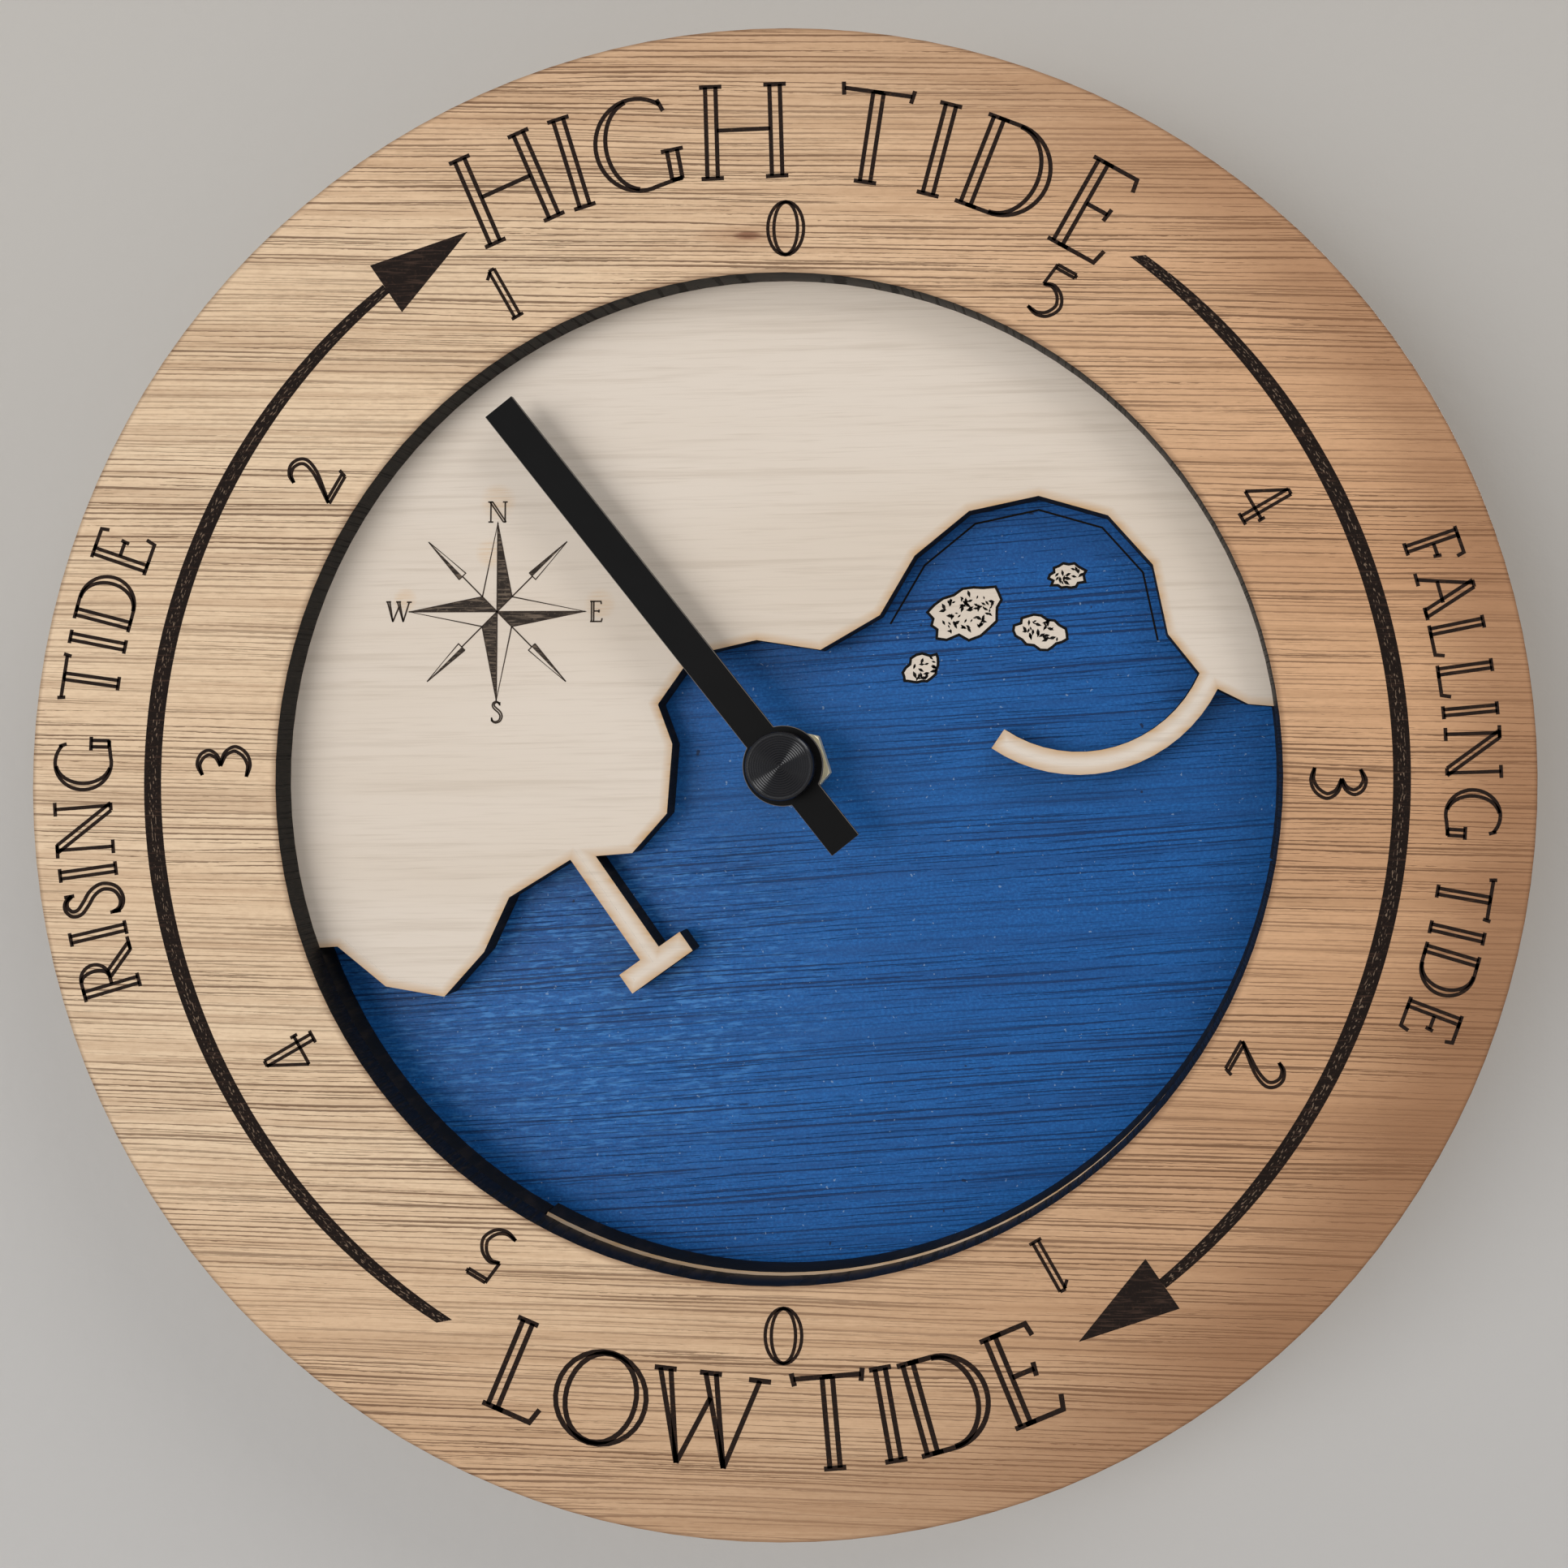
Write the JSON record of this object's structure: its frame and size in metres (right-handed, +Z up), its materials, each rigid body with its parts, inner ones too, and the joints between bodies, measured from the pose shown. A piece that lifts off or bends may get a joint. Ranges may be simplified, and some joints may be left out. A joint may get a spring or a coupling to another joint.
{
  "type": "tide clock",
  "caption": "Round wall tide clock: layered plywood dial with wide bezel, cut-out coast and sea, a long hand, and a battery movement with gear train, friction clutch, setting knob and hanger.",
  "frame": {"origin": "middle of the hanger's hole, on the wall plane", "axes": "+Z up, +Y into the wall along the hanger's hole, +X to the right seen from the front; the dial faces -Y"},
  "size_m": [0.3, 0.0386, 0.3],
  "materials": {
    "veneer_wood": "fine straight-grained veneer with engraved scale, satin",
    "pale_wood": "whitewashed plywood with scorched cut edges",
    "blue_wood": "blue-stained plywood, slight gloss",
    "black_metal": "satin black paint",
    "brass": "bare turned brass",
    "rubber": "matt rubber",
    "steel": "zinc-plated steel strip",
    "black_plastic": "black moulded plastic",
    "white_plastic": "natural moulded plastic",
    "magnet": "dark sintered magnet",
    "copper": "enamelled copper wire",
    "board": "green board",
    "cell_wrap": "plain silver wrapped cell"
  },
  "bodies": {
    "base": {"bezel_ring": "veneer_wood", "land_panel": "pale_wood", "rim_spacer": "pale_wood", "sea_panel": "blue_wood", "brass_nut": "brass", "brass_washer": "brass", "rubber_washer": "rubber", "threaded_bush": "brass", "hanger_plate": "steel", "front_housing": "black_plastic", "rear_cover": "black_plastic", "stator_plate": "steel", "coil_core": "steel", "coil_bobbin": "white_plastic", "coil_winding": "copper", "circuit_board": "board", "timing_chip": "black_plastic", "quartz_crystal": "steel", "battery_cell": "cell_wrap", "positive_contact": "steel", "negative_contact": "steel"},
    "hand": {"tide_hand": "black_metal", "hand_bush": "brass", "hand_cap": "black_metal", "hand_wheel": "white_plastic"},
    "clutch_arbor": {"clutch_pinion": "white_plastic", "clutch_spring": "steel"},
    "knob": {"setting_knob": "black_plastic"},
    "rotor": {"rotor_pinion": "white_plastic", "rotor_magnet": "magnet"},
    "first_arbor": {"first_wheel": "white_plastic"},
    "second_arbor": {"second_wheel": "white_plastic"},
    "third_arbor": {"third_wheel": "white_plastic"},
    "clutch_gear": {"clutch_wheel": "white_plastic"}
  },
  "joints": [
    {"name": "hand_turn", "type": "hinge", "parent": "base", "child": "hand", "pos_m": [0, -0.0135, -0.0348], "axis": [0, 1, 0], "continuous": true},
    {"name": "clutch_arbor_turn", "type": "hinge", "parent": "base", "child": "clutch_arbor", "pos_m": [0.01003, -0.0135, -0.03115], "axis": [0, 1, 0], "continuous": true},
    {"name": "knob_turn", "type": "hinge", "parent": "base", "child": "knob", "pos_m": [-0.01099, -0.0135, -0.03774], "axis": [0, 1, 0], "continuous": true},
    {"name": "rotor_spin", "type": "hinge", "parent": "base", "child": "rotor", "pos_m": [-0.01379, -0.0135, -0.02116], "axis": [0, 1, 0], "continuous": true},
    {"name": "first_turn", "type": "hinge", "parent": "base", "child": "first_arbor", "pos_m": [-0.00694, -0.0135, -0.02365], "axis": [0, 1, 0], "continuous": true},
    {"name": "second_turn", "type": "hinge", "parent": "base", "child": "second_arbor", "pos_m": [0.00001, -0.0135, -0.02112], "axis": [0, 1, 0], "continuous": true},
    {"name": "third_turn", "type": "hinge", "parent": "base", "child": "third_arbor", "pos_m": [0.00839, -0.0135, -0.02186], "axis": [0, 1, 0], "continuous": true},
    {"name": "clutch_wheel_turn", "type": "hinge", "parent": "base", "child": "clutch_gear", "pos_m": [0.01003, -0.0135, -0.03115], "axis": [0, 1, 0], "continuous": true}
  ],
  "couplings": [
    {"joint": "clutch_arbor_turn", "follows": "hand_turn", "ratio": -6.625},
    {"joint": "knob_turn", "follows": "hand_turn", "ratio": -4.4167},
    {"joint": "first_turn", "follows": "rotor_spin", "ratio": -0.125},
    {"joint": "second_turn", "follows": "rotor_spin", "ratio": 0.016667},
    {"joint": "third_turn", "follows": "rotor_spin", "ratio": -0.0022222},
    {"joint": "clutch_wheel_turn", "follows": "rotor_spin", "ratio": 0.0002963}
  ]
}
